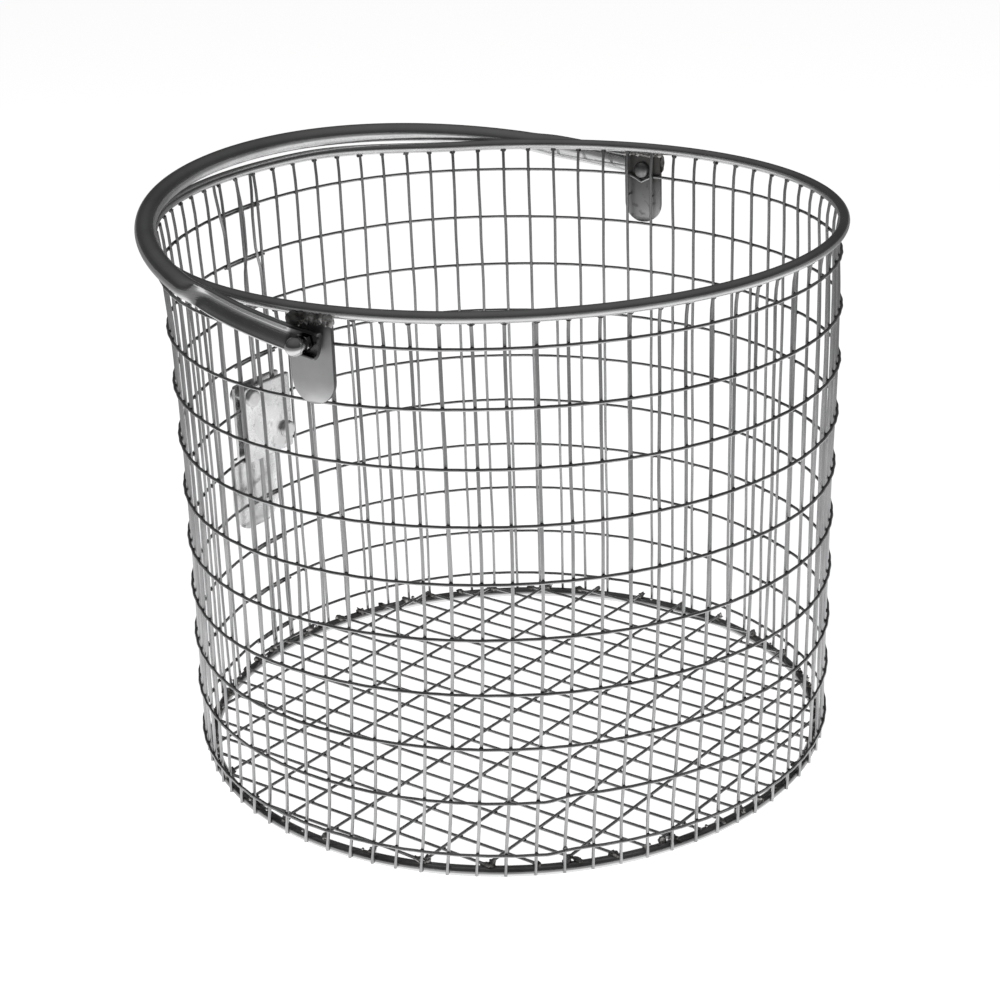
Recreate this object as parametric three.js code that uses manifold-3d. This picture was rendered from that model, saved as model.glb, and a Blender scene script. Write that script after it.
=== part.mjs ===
// Round basket strainer of welded wire mesh, with a rim rod, a base ring, a mesh floor, a tubular
// swing handle on two lugs, and a riveted draining hook.
// Millimetres, +Z up. The origin is on the basket's axis in the plane that the base ring stands on.
// The handle's pivot axis is parallel to Y, and the folded handle lies towards -X.
// An azimuth is counted from -Y towards +X, so the two lugs stand at 0 and 180 degrees.

import * as THREE from 'three';
import { mergeVertices } from 'three/addons/utils/BufferGeometryUtils.js';
import Module from 'manifold-3d';

const wasm = await Module();
wasm.setup();

// ---- driving dimensions ----

const GAP = 0.3; // clearance between pieces that touch on the real basket
const WIRE = 1.4; // side of a mesh wire's square section

const CELL_WIDTH = 12.7; // mesh cell, across the close wires
const CELL_HEIGHT = 25.4; // mesh cell, across the wide-spaced wires

const RIM_RADIUS = 156.4;
const RIM_ROD = 5.2;
const RIM_Z = 253.6;

const BASE_RADIUS = 147.6;
const BASE_ROD = 5;
const RING_SEGMENTS = 64;

const UPRIGHT_COUNT = 76;
const UPRIGHT_BASE_RADIUS = 151.1;
const WALL_TAPER = 0.012; // growth of the wall's radius with height
const FRONT_DRIFT = -1.65; // degrees that the uprights right of the front lug stand off even spacing
const HOOK_DRIFT = 2.3; // the same at the draining hook
const UPRIGHT_FOOT_Z = 0.8;
const UPRIGHT_TOP_Z = 250.6;

const HOOP_COUNT = 10;
const TOP_HOOP_Z = 240.1;
const HOOP_SEGMENTS = UPRIGHT_COUNT / 2; // each straight stretch passes two uprights
const WELD_DEPTH = 0.3; // how far two welded wires sink into each other

const FLOOR_TURN = -8.25; // degrees from +X to the close floor wires
const FLOOR_RADIUS = 149.8; // how far the floor wires reach over the base ring
const FLOOR_Z = BASE_ROD + GAP + WIRE / 2;
const CLOSE_WIRE_SHIFT = -2.4; // the close wire nearest to the axis, measured across the wires
const CROSS_WIRE_SHIFT = -5.2; // the cross wire nearest to the axis, likewise

const PIVOT_Z = 242.1;
const LUG_WIDTH = 20;
const LUG_THICKNESS = 2.5;
const LUG_INNER_Y = 156.6;
const LUG_TOP_Z = 250.6;
const LUG_BOTTOM_Z = 214.6;

const SCREW_RADIUS = 2.4;
const SCREW_HEAD_RADIUS = 4.2;
const SCREW_HEAD_HEIGHT = 2.9;
const SCREW_TIP_Y = 169;
const HOLE_CLEARANCE = 0.4;
const NUT_RADIUS = 4;
const NUT_NECK_RADIUS = 3.4;
const NUT_BASE_Y = 163.3;
const NUT_TIP_Y = 174.6;

const HANDLE_TUBE = 9.5;
const HANDLE_HALF_WIDTH = 165.6; // pivot axis: from the basket's axis to the tube's middle
const HANDLE_REACH = 153.5; // from the pivot axis to the middle of the grip
const HANDLE_FULLNESS = 0.014; // how much the handle's shoulders stand out of a plain ellipse
const HANDLE_FOLD = 10.2; // degrees above level when the handle is folded down
const HANDLE_STEPS = 44;
const TROUGH_REACH = 56; // from the pivot axis to the trough's shut end
const TROUGH_OVERHANG = 6.5; // from the pivot axis to the trough's open end
const TROUGH_STEPS = 10;
const TROUGH_HALF_HEIGHT = 5.8;
const TROUGH_FLOOR = 2.7; // trough floor, measured inwards from the tube's middle line
const TROUGH_BACK = 5.1; // trough back, measured the same way
const SCOOP_START = 44; // where the trough's floor begins to climb out of the tube
const SCOOP_SLOPE = 30;

const HOOK_CELL = 55; // cells round from the front lug to the middle of the hook
const HOOK_WIDTH = 34;
const PLATE = 1.8;
const HOOK_BACK = 155.9; // radius of the face that lies on the hoops
const HOOK_FRONT = 163.3; // radius of the tab's outer face
const HOOK_TOP_Z = 151.6;
const HOOK_SHELF_Z = 110;
const HOOK_TIP_Z = 69.6;
const HOOK_TIP_ROUNDING = 12;
const BACKING_FACE = 150.5; // radius of the backing plate's outer face
const BACKING_HEIGHT = 40;
const CORNER_ROUNDING = 1.5;
const RIVET_RADIUS = 2.4;
const RIVET_HEAD_RADIUS = 4.5;
const RIVET_HEAD_HEIGHT = 2.2;
const UPPER_RIVET_Z = 145.6;
const LOWER_RIVET_Z = 121.6;

// ---- materials ----

function steel(colour, roughness) {
  return new THREE.MeshStandardMaterial({ color: colour, roughness, metalness: 1 });
}

const wireSteel = () => steel(0x9a9c9e, 0.35);
const rodSteel = () => steel(0x6f7173, 0.3);
const tubeSteel = () => steel(0x77797b, 0.25);
const plateSteel = () => steel(0xa3a5a6, 0.5);
const fastenerSteel = () => steel(0xc4c6c8, 0.15);

// ---- helpers ----

function toSolid(geometry) {
  const bare = geometry.clone();
  bare.deleteAttribute('normal');
  bare.deleteAttribute('uv');
  const merged = mergeVertices(bare, 1e-4);
  const corners = merged.index.array;
  const kept = [];
  for (let i = 0; i < corners.length; i += 3) {
    const [a, b, c] = corners.slice(i, i + 3);
    if (a !== b && b !== c && c !== a) kept.push(a, b, c);
  }
  const vertProperties = Float32Array.from(merged.attributes.position.array);
  const triVerts = Uint32Array.from(kept);
  return new wasm.Manifold(new wasm.Mesh({ numProp: 3, vertProperties, triVerts }));
}

function toGeometry(solid) {
  const mesh = solid.getMesh();
  const geometry = new THREE.BufferGeometry();
  geometry.setAttribute('position', new THREE.BufferAttribute(mesh.vertProperties, 3));
  geometry.setIndex(new THREE.BufferAttribute(mesh.triVerts, 1));
  geometry.computeVertexNormals();
  return geometry;
}

function namedMesh(name, geometry, material) {
  const mesh = new THREE.Mesh(geometry, material);
  mesh.name = name;
  return mesh;
}

// A closed regular section around (radius, z), with flats facing up, down, in and out.
function rodSection(radius, z, sides, acrossFlats) {
  const cornerDistance = acrossFlats / 2 / Math.cos(Math.PI / sides);
  const points = [];
  for (let i = 0; i <= sides; i += 1) {
    const angle = ((i + 0.5) * 2 * Math.PI) / sides;
    const x = radius + cornerDistance * Math.cos(angle);
    points.push(new THREE.Vector2(x, z + cornerDistance * Math.sin(angle)));
  }
  points[sides].copy(points[0]);
  return points;
}

// A ring around Z. Its first corner stands at the given azimuth.
function ring(section, segments, startDegrees) {
  const start = THREE.MathUtils.degToRad(startDegrees);
  return new THREE.LatheGeometry(section, segments, start, 2 * Math.PI).rotateX(Math.PI / 2);
}

// A round pin along +Y with a section given as [radius, y] pairs from axis to axis.
function turned(pairs, segments) {
  const points = pairs.map(([radius, y]) => new THREE.Vector2(radius, y));
  return new THREE.LatheGeometry(points, segments);
}

function ramp(value, from, to) {
  return THREE.MathUtils.clamp((value - from) / (to - from), 0, 1);
}

// Degrees round from the front lug to a place counted in mesh cells. The hand-made mesh isn't
// spaced evenly, but it meets both lugs evenly.
function cellDegrees(cell) {
  const even = (cell * 360) / UPRIGHT_COUNT;
  const front = ramp(even, 2.5, 20) * ramp(even, 98, 78);
  const hook = ramp(even, 182.5, 262) * ramp(even, 332, 272);
  return even + FRONT_DRIFT * front + HOOK_DRIFT * hook;
}

function uprightRadius(z) {
  return UPRIGHT_BASE_RADIUS + WALL_TAPER * z;
}

// The corner radius of a hoop whose middle line passes the uprights at the given distance.
function hoopCornerRadius(z, distance) {
  const pitch = Math.PI / UPRIGHT_COUNT;
  const atUpright = uprightRadius(z) + distance;
  return (atUpright * Math.cos(pitch)) / Math.cos(2 * pitch);
}

function hoopZ(index) {
  return TOP_HOOP_Z - index * CELL_HEIGHT;
}

// ---- wall ----

function upright(azimuth) {
  const height = UPRIGHT_TOP_Z - UPRIGHT_FOOT_Z;
  const middleZ = (UPRIGHT_TOP_Z + UPRIGHT_FOOT_Z) / 2;
  const box = new THREE.BoxGeometry(WIRE, WIRE, height);
  box.rotateX(Math.atan(WALL_TAPER));
  box.translate(0, -uprightRadius(middleZ), middleZ);
  return box.rotateZ(azimuth);
}

// The uprights, welded to the lowest hoop.
function wallWires() {
  const z = hoopZ(HOOP_COUNT - 1);
  const radius = hoopCornerRadius(z, WIRE - 2 * WELD_DEPTH);
  let wall = toSolid(ring(rodSection(radius, z, 4, WIRE), HOOP_SEGMENTS, 360 / UPRIGHT_COUNT));
  for (let i = 0; i < UPRIGHT_COUNT; i += 1) {
    const azimuth = THREE.MathUtils.degToRad(cellDegrees(i + 0.5));
    wall = wall.add(toSolid(upright(azimuth)));
  }
  return toGeometry(wall);
}

function hoop(index) {
  const z = hoopZ(index);
  const radius = hoopCornerRadius(z, WIRE + GAP);
  return ring(rodSection(radius, z, 4, WIRE), HOOP_SEGMENTS, 360 / UPRIGHT_COUNT);
}

// The stretch of the top hoop that is bent down below a pivot screw's head, on the +Y side.
function hoopBow(y, z) {
  const bowZ = PIVOT_Z - SCREW_HEAD_RADIUS - GAP - WIRE / 2 - 0.3;
  const path = new THREE.CatmullRomCurve3([
    new THREE.Vector3(-6.8, y, z),
    new THREE.Vector3(-5.6, y, z - 0.3),
    new THREE.Vector3(-3.6, y, (z + bowZ) / 2 - 0.4),
    new THREE.Vector3(0, y, bowZ),
    new THREE.Vector3(3.6, y, (z + bowZ) / 2 - 0.4),
    new THREE.Vector3(5.6, y, z - 0.3),
    new THREE.Vector3(6.8, y, z),
  ]);
  const half = WIRE / 2;
  const section = new THREE.Shape([
    new THREE.Vector2(-half, -half),
    new THREE.Vector2(half, -half),
    new THREE.Vector2(half, half),
    new THREE.Vector2(-half, half),
  ]);
  return new THREE.ExtrudeGeometry(section, { steps: 14, extrudePath: path });
}

// The top hoop, which leaves room for both pivot screws.
function topHoop() {
  const z = hoopZ(0);
  const y = hoopCornerRadius(z, WIRE + GAP) * Math.cos((2 * Math.PI) / UPRIGHT_COUNT);
  const window = new THREE.BoxGeometry(12.2, 400, 4).translate(0, 0, z);
  const bow = hoopBow(y, z);
  const oppositeBow = bow.clone().rotateZ(Math.PI);
  const cut = toSolid(hoop(0)).subtract(toSolid(window));
  return toGeometry(cut.add(toSolid(bow)).add(toSolid(oppositeBow)));
}

function wallMeshes() {
  const meshes = [namedMesh('wall_wires', wallWires(), wireSteel())];
  meshes.push(namedMesh('hoop_wire_01', topHoop(), wireSteel()));
  for (let i = 1; i < HOOP_COUNT - 1; i += 1) {
    const name = `hoop_wire_${String(i + 1).padStart(2, '0')}`;
    meshes.push(namedMesh(name, hoop(i), wireSteel()));
  }
  return meshes;
}

function topRim() {
  return ring(rodSection(RIM_RADIUS, RIM_Z, 8, RIM_ROD), RING_SEGMENTS, 0);
}

function baseRing() {
  return ring(rodSection(BASE_RADIUS, BASE_ROD / 2, 8, BASE_ROD), RING_SEGMENTS, 0);
}

// ---- floor ----

// A straight floor wire along X, at a distance y from the axis, cut to the floor's round outline.
function floorWire(y, z) {
  const halfLength = Math.sqrt(FLOOR_RADIUS ** 2 - (Math.abs(y) + WIRE / 2) ** 2);
  return new THREE.BoxGeometry(2 * halfLength, WIRE, WIRE).translate(0, y, z);
}

// Distances from the axis of the wires that lie beside the nearest one, on both sides of it.
function neighbourOffsets(shift, pitch) {
  const offsets = [];
  const reach = FLOOR_RADIUS - WIRE;
  for (let i = -UPRIGHT_COUNT; i <= UPRIGHT_COUNT; i += 1) {
    const y = shift + i * pitch;
    if (i !== 0 && Math.abs(y) < reach) offsets.push(y);
  }
  return offsets;
}

// The cross wires lie on top of the close ones. The one nearest to the middle is welded to them all.
function floorMeshes() {
  const closeTurn = THREE.MathUtils.degToRad(FLOOR_TURN);
  const crossTurn = closeTurn + Math.PI / 2;
  const weldedZ = FLOOR_Z + WIRE - WELD_DEPTH;
  const crossZ = FLOOR_Z + WIRE + GAP;
  let floor = toSolid(floorWire(CROSS_WIRE_SHIFT, weldedZ).rotateZ(crossTurn));
  for (const y of [CLOSE_WIRE_SHIFT, ...neighbourOffsets(CLOSE_WIRE_SHIFT, CELL_WIDTH)]) {
    floor = floor.add(toSolid(floorWire(y, FLOOR_Z).rotateZ(closeTurn)));
  }
  const meshes = [namedMesh('floor_wires', toGeometry(floor), wireSteel())];
  neighbourOffsets(CROSS_WIRE_SHIFT, CELL_HEIGHT).forEach((y, i) => {
    const name = `floor_cross_wire_${String(i + 1).padStart(2, '0')}`;
    meshes.push(namedMesh(name, floorWire(y, crossZ).rotateZ(crossTurn), wireSteel()));
  });
  return meshes;
}

// ---- lugs, pivot screws and cap nuts, drawn on the +Y side ----

function lug() {
  const outline = new THREE.Shape();
  const half = LUG_WIDTH / 2;
  outline.moveTo(half, LUG_TOP_Z);
  outline.lineTo(-half, LUG_TOP_Z);
  outline.lineTo(-half, LUG_BOTTOM_Z + half);
  outline.absarc(0, LUG_BOTTOM_Z + half, half, Math.PI, 2 * Math.PI, false);
  const hole = new THREE.Path();
  hole.absarc(0, PIVOT_Z, SCREW_RADIUS + HOLE_CLEARANCE, 0, 2 * Math.PI, true);
  outline.holes.push(hole);
  const options = { depth: LUG_THICKNESS, bevelEnabled: false, curveSegments: 12 };
  const plate = new THREE.ExtrudeGeometry(outline, options).rotateX(Math.PI / 2);
  return plate.translate(0, LUG_INNER_Y + LUG_THICKNESS, 0);
}

// A pan head inside the lug and a plain shank that carries the handle.
function pivotScrew() {
  const seat = LUG_INNER_Y - GAP;
  const crown = seat - SCREW_HEAD_HEIGHT;
  const section = [
    [0, crown],
    [SCREW_HEAD_RADIUS * 0.6, crown + 0.3],
    [SCREW_HEAD_RADIUS, crown + 1.4],
    [SCREW_HEAD_RADIUS, seat],
    [SCREW_RADIUS, seat],
    [SCREW_RADIUS, SCREW_TIP_Y],
    [0, SCREW_TIP_Y],
  ];
  return turned(section, 20).translate(0, 0, PIVOT_Z);
}

// A domed cap nut with a blind bore over the screw's end.
function capNut() {
  const bore = SCREW_RADIUS + GAP;
  const domeStart = NUT_TIP_Y - NUT_RADIUS;
  const section = [
    [0, SCREW_TIP_Y + GAP],
    [bore, SCREW_TIP_Y + GAP],
    [bore, NUT_BASE_Y],
    [NUT_NECK_RADIUS, NUT_BASE_Y],
    [NUT_NECK_RADIUS, NUT_BASE_Y + 1.4],
    [NUT_RADIUS, NUT_BASE_Y + 2.2],
  ];
  for (let i = 0; i <= 5; i += 1) {
    const angle = (i * Math.PI) / 10;
    section.push([NUT_RADIUS * Math.cos(angle), domeStart + NUT_RADIUS * Math.sin(angle)]);
  }
  section[section.length - 1][0] = 0;
  return turned(section, 20).translate(0, 0, PIVOT_Z);
}

function pivotGroup(side, turn) {
  const group = new THREE.Group();
  group.rotation.z = turn;
  group.add(namedMesh(`${side}_lug`, lug(), plateSteel()));
  group.add(namedMesh(`${side}_pivot_screw`, pivotScrew(), fastenerSteel()));
  group.add(namedMesh(`${side}_cap_nut`, capNut(), fastenerSteel()));
  return group;
}

// ---- handle, drawn flat: X runs from the pivot axis to the grip, Y along the pivot axis ----

// Half a full-shouldered ellipse from the front pivot round to the rear one, or a part of it.
class HandleCurve extends THREE.Curve {
  constructor(fromAngle, toAngle) {
    super();
    this.fromAngle = fromAngle;
    this.toAngle = toAngle;
  }

  getPoint(t, target = new THREE.Vector3()) {
    const angle = THREE.MathUtils.lerp(this.fromAngle, this.toAngle, t);
    const fullness = 1 + HANDLE_FULLNESS * Math.sin(2 * angle) ** 2;
    const x = HANDLE_REACH * Math.sin(angle);
    return target.set(x, -HANDLE_HALF_WIDTH * Math.cos(angle), 0).multiplyScalar(fullness);
  }
}

function angleAtReach(reach) {
  return Math.asin(reach / HANDLE_REACH);
}

function handleTube() {
  const start = angleAtReach(SCOOP_START);
  const path = new HandleCurve(start, Math.PI - start);
  const section = new THREE.Shape();
  section.absarc(0, 0, HANDLE_TUBE / 2, 0, 2 * Math.PI, false);
  const options = { steps: HANDLE_STEPS, extrudePath: path, curveSegments: 6 };
  return new THREE.ExtrudeGeometry(section, options);
}

// The trough's section: the second coordinate runs inwards from the tube's middle line.
function troughSection() {
  const outside = TROUGH_HALF_HEIGHT;
  const inside = outside - 1.3;
  const half = [
    [outside, 0],
    [outside, 1.9],
    [outside - 0.9, 4],
    [outside - 2.6, TROUGH_BACK],
  ];
  const hollow = [
    [inside - 0.8, TROUGH_FLOOR],
    [inside, 1.4],
    [inside, 0],
  ];
  const outline = [
    ...half,
    ...half.map(([x, y]) => [-x, y]).reverse(),
    ...hollow.map(([x, y]) => [-x, y]).reverse(),
    ...hollow,
  ];
  return new THREE.Shape(outline.map(([x, y]) => new THREE.Vector2(x, y)));
}

function frontTrough() {
  const path = new HandleCurve(-angleAtReach(TROUGH_OVERHANG), angleAtReach(TROUGH_REACH));
  return new THREE.ExtrudeGeometry(troughSection(), { steps: TROUGH_STEPS, extrudePath: path });
}

// A block that cuts a ramp from the trough's floor up to the outside of the front tube end.
function frontScoop() {
  const angle = angleAtReach(SCOOP_START);
  const start = new HandleCurve(angle, angle + 0.01);
  const tangent = start.getTangent(0);
  const along = Math.atan2(tangent.y, tangent.x);
  const ramp = along - THREE.MathUtils.degToRad(SCOOP_SLOPE);
  const floorPoint = start.getPoint(0);
  floorPoint.x -= TROUGH_FLOOR * Math.sin(along);
  floorPoint.y += TROUGH_FLOOR * Math.cos(along);
  const block = new THREE.BoxGeometry(60, 20, 2 * (TROUGH_HALF_HEIGHT - 1.3));
  return block.translate(0, -10, 0).rotateZ(ramp).translate(floorPoint.x, floorPoint.y, 0);
}

function pivotHoles() {
  const radius = SCREW_RADIUS + HOLE_CLEARANCE;
  return new THREE.CylinderGeometry(radius, radius, 2 * HANDLE_HALF_WIDTH + 20, 20);
}

function handle() {
  const trough = frontTrough();
  const scoop = frontScoop();
  let solid = toSolid(handleTube()).subtract(toSolid(scoop));
  solid = solid.subtract(toSolid(scoop.clone().rotateX(Math.PI)));
  solid = solid.add(toSolid(trough)).add(toSolid(trough.clone().rotateX(Math.PI)));
  return toGeometry(solid.subtract(toSolid(pivotHoles())));
}

function foldedHandle() {
  const mesh = namedMesh('swing_handle', handle(), tubeSteel());
  mesh.rotation.y = Math.PI + THREE.MathUtils.degToRad(HANDLE_FOLD);
  mesh.position.z = PIVOT_Z;
  return mesh;
}

// ---- draining hook, drawn with +X pointing out of the wall ----

// A rectangle in Y and Z with rounded corners, extruded along X from the given place.
function roundedBlock(bottomZ, topZ, bottomRounding, fromX, thickness) {
  const half = HOOK_WIDTH / 2;
  const outline = new THREE.Shape();
  outline.moveTo(-half, bottomZ + bottomRounding);
  outline.absarc(-half + bottomRounding, bottomZ + bottomRounding, bottomRounding, Math.PI, 1.5 * Math.PI);
  outline.absarc(half - bottomRounding, bottomZ + bottomRounding, bottomRounding, 1.5 * Math.PI, 0);
  outline.absarc(half - CORNER_ROUNDING, topZ - CORNER_ROUNDING, CORNER_ROUNDING, 0, 0.5 * Math.PI);
  outline.absarc(-half + CORNER_ROUNDING, topZ - CORNER_ROUNDING, CORNER_ROUNDING, 0.5 * Math.PI, Math.PI);
  const options = { depth: thickness, bevelEnabled: false, curveSegments: 6 };
  const block = new THREE.ExtrudeGeometry(outline, options);
  return block.rotateX(Math.PI / 2).rotateZ(Math.PI / 2).translate(fromX, 0, 0);
}

function rivetPlaces() {
  const across = BACKING_FACE * Math.sin((2 * Math.PI) / UPRIGHT_COUNT);
  return [
    { name: 'hook_rivet_upper', y: across, z: UPPER_RIVET_Z },
    { name: 'hook_rivet_lower', y: -across, z: LOWER_RIVET_Z },
  ];
}

function withRivetHoles(geometry) {
  const radius = RIVET_RADIUS + HOLE_CLEARANCE;
  let solid = toSolid(geometry);
  for (const { y, z } of rivetPlaces()) {
    const drill = new THREE.CylinderGeometry(radius, radius, 40, 16).rotateZ(Math.PI / 2);
    solid = solid.subtract(toSolid(drill.translate(HOOK_BACK, y, z)));
  }
  return toGeometry(solid);
}

// A plate that steps outwards over a shelf and hangs down as a tab with rounded corners.
function hookPlate() {
  const shelfTop = HOOK_SHELF_Z + PLATE;
  const bend = 2.4;
  const profile = new THREE.Shape();
  profile.moveTo(HOOK_BACK, HOOK_TOP_Z);
  profile.lineTo(HOOK_BACK, HOOK_SHELF_Z);
  profile.lineTo(HOOK_FRONT - PLATE, HOOK_SHELF_Z);
  profile.lineTo(HOOK_FRONT - PLATE, HOOK_TIP_Z);
  profile.lineTo(HOOK_FRONT, HOOK_TIP_Z);
  profile.lineTo(HOOK_FRONT, shelfTop - bend);
  profile.absarc(HOOK_FRONT - bend, shelfTop - bend, bend, 0, Math.PI / 2);
  profile.lineTo(HOOK_BACK + PLATE, shelfTop);
  profile.lineTo(HOOK_BACK + PLATE, HOOK_TOP_Z);
  const options = { depth: HOOK_WIDTH, bevelEnabled: false, curveSegments: 5 };
  const bent = new THREE.ExtrudeGeometry(profile, options).rotateX(Math.PI / 2);
  bent.translate(0, HOOK_WIDTH / 2, 0);
  const outline = roundedBlock(HOOK_TIP_Z, HOOK_TOP_Z, HOOK_TIP_ROUNDING, HOOK_BACK - 5, 20);
  return withRivetHoles(toGeometry(toSolid(bent).intersect(toSolid(outline))));
}

function backingPlate() {
  const bottom = HOOK_TOP_Z - BACKING_HEIGHT;
  const back = BACKING_FACE - PLATE;
  return withRivetHoles(roundedBlock(bottom, HOOK_TOP_Z, CORNER_ROUNDING, back, PLATE));
}

function rivet(place) {
  const innerSeat = BACKING_FACE - PLATE - GAP;
  const outerSeat = HOOK_BACK + PLATE + GAP;
  const dome = [0, 0.35, 0.7, 1].map((t) => [
    RIVET_HEAD_RADIUS * Math.sin((t * Math.PI) / 2),
    RIVET_HEAD_HEIGHT * Math.cos((t * Math.PI) / 2),
  ]);
  const section = [
    ...dome.map(([radius, height]) => [radius, innerSeat - height]),
    [RIVET_RADIUS, innerSeat],
    [RIVET_RADIUS, outerSeat],
    ...dome.map(([radius, height]) => [radius, outerSeat + height]).reverse(),
  ];
  return turned(section, 16).rotateZ(-Math.PI / 2).translate(0, place.y, place.z);
}

function hookGroup() {
  const group = new THREE.Group();
  group.rotation.z = THREE.MathUtils.degToRad(cellDegrees(HOOK_CELL) - 90);
  group.add(namedMesh('draining_hook', hookPlate(), plateSteel()));
  group.add(namedMesh('hook_backing_plate', backingPlate(), plateSteel()));
  for (const place of rivetPlaces()) {
    group.add(namedMesh(place.name, rivet(place), fastenerSteel()));
  }
  return group;
}

// ---- assembly ----

const basket = new THREE.Group();
basket.add(namedMesh('top_rim', topRim(), rodSteel()));
basket.add(namedMesh('base_ring', baseRing(), rodSteel()));
basket.add(...wallMeshes());
basket.add(...floorMeshes());
basket.add(pivotGroup('front', Math.PI));
basket.add(pivotGroup('rear', 0));
basket.add(foldedHandle());
basket.add(hookGroup());

export default basket;
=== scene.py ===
# Looks for the round wire mesh basket strainer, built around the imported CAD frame.
# Lengths are in millimetres until Builder.piece() turns them into metres.
import math
import random

import bpy
import numpy as np
from mathutils import Matrix, Vector, noise


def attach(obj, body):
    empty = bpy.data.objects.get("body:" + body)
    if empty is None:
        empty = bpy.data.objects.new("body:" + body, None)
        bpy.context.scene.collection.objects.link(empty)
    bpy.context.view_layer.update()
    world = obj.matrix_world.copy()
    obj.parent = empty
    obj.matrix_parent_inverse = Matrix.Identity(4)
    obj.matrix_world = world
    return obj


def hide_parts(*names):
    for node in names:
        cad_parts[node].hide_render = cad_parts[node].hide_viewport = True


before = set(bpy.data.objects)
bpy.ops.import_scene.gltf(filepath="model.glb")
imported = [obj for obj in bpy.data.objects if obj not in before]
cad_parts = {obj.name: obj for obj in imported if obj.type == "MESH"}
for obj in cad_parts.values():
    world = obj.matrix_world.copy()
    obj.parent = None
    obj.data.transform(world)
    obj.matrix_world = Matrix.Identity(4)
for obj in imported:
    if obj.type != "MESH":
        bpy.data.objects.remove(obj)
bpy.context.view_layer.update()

MM = 0.001
SHARP_ANGLE = math.radians(38)
AXIS_X, AXIS_Y, AXIS_Z = np.eye(3)

# ---- sizes, in millimetres ----

WIRE_RADIUS = 0.75
WELD_SINK = 0.15  # how far two welded wires sink into each other
CELL_WIDTH = 12.7
CELL_HEIGHT = 25.4

UPRIGHTS = 76
PITCH = 2 * math.pi / UPRIGHTS
WALL_RADIUS = 151.1
WALL_TAPER = 0.012
UPRIGHT_FOOT_Z = 1.6
UPRIGHT_TOP_Z = 251.6
FRONT_DRIFT, HOOK_DRIFT = -1.65, 2.3  # degrees off even spacing, as in the CAD part
FOOT_TWIST = 7.4  # how far the front uprights' feet are pushed round
FOOT_BULGE = 4.6  # how far the foot is pushed outwards on the front side
DENT_DEPTH, SIDE_BULGE = 2.8, 1.2  # where the wall is pressed in, and where it stands out
UPRIGHT_LEAN = 1.2  # how far the tops of the uprights bend outwards to meet the rim
HOOPS = 10
TOP_HOOP_Z = 240.1
HOOP_OFFSET = 2 * WIRE_RADIUS - WELD_SINK

RIM_RADIUS, RIM_Z, RIM_ROD_RADIUS = 156.4, 253.6, 2.6
RIM_LIFT = 4.8  # how much higher the rim stands on the hook's side
BASE_RADIUS, BASE_Z, BASE_ROD_RADIUS = 148.3, 2.5, 2.5

FLOOR_TURN = math.radians(-8.25)
FLOOR_RADIUS = 149.6
CLOSE_SHIFT, CROSS_SHIFT = -2.4, -5.2  # how far each grid's middle wire is off the centre
CLOSE_Z = 5.6
CLOSE_KIND, CROSS_KIND = 21.0, 27.0  # rows of the noise that bends the two kinds of wire

PIVOT_Z = 242.1
LUG_HALF_WIDTH, LUG_INNER, LUG_OUTER = 10, 156.6, 159.1
LUG_BOTTOM_Z, LUG_TOP_Z = 214.6, 252.6
SHANK_RADIUS, SHANK_END = 2.4, 169.5
NUT_RADIUS = 3.95

TUBE_RADIUS = 4.67
HANDLE_HALF_WIDTH, HANDLE_REACH = 165.6, 153.5
HANDLE_FULLNESS = 0.014
HANDLE_FOLD = math.radians(10.2)
TROUGH_OVERHANG = 6.5

HOOK_CELL = 55
HOOK_HALF_WIDTH = 17
PLATE = 1.8
HOOK_BACK, HOOK_FRONT = 155.9, 163.3
HOOK_TOP_Z, HOOK_SHELF_Z, HOOK_TIP_Z = 151.6, 110, 69.6
HOOK_TIP_ROUNDING = 12
BACKING_FACE, BACKING_BOTTOM_Z = 150.5, 111.6
RIVET_RADIUS = 2.4
RIVET_HEAD_RADIUS, RIVET_HEAD_HEIGHT = 4.5, 2.2
# Points on the head as shares of its radius and of its height, from the crown to the plate.
RIVET_HEAD_OUTLINE = [(0.6, 1.0), (0.8, 0.98), (0.9, 0.92), (0.96, 0.78), (0.99, 0.55),
                      (1.0, 0.3), (1.0, 0.0)]
RIVETS = {"hook_rivet_upper": (1, 145.6), "hook_rivet_lower": (-1, 121.6)}  # side and height


# ---- mesh building ----

class Builder:
    """Collects vertices, faces and a lengthwise UV map, and turns them into one object."""

    def __init__(self):
        self.verts, self.faces, self.uvs, self.count = [], [], [], 0

    def add(self, verts, faces, uvs=None):
        verts = np.asarray(verts, float).reshape(-1, 3)
        self.verts.append(verts)
        self.uvs.append(verts[:, :2] if uvs is None else np.asarray(uvs, float))
        self.faces += [tuple(i + self.count for i in face) for face in faces]
        self.count += len(verts)
        return self

    def piece(self, name, body, slot, material, replaces=(), matrix=None):
        verts = np.concatenate(self.verts) * MM
        mesh = bpy.data.meshes.new(name)
        mesh.from_pydata(verts.tolist(), [], self.faces)
        mesh.validate()
        if matrix is not None:
            mesh.transform(matrix)
        layer = mesh.uv_layers.new(name="length_and_turn")
        corners = np.zeros(len(mesh.loops), np.int32)
        mesh.loops.foreach_get("vertex_index", corners)
        layer.data.foreach_set("uv", (np.concatenate(self.uvs)[corners] * MM).ravel())
        mesh.shade_smooth()
        mesh.set_sharp_from_angle(angle=SHARP_ANGLE)
        mesh.materials.append(material)
        obj = bpy.data.objects.new(name, mesh)
        bpy.context.scene.collection.objects.link(obj)
        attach(obj, body)
        if replaces:
            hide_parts(*replaces)
        return obj


def unit(v):
    return v / np.linalg.norm(v, axis=-1, keepdims=True)


def circle(radius, sides):
    angle = np.arange(sides) * 2 * math.pi / sides
    return np.stack([radius * np.cos(angle), radius * np.sin(angle)], 1)


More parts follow.
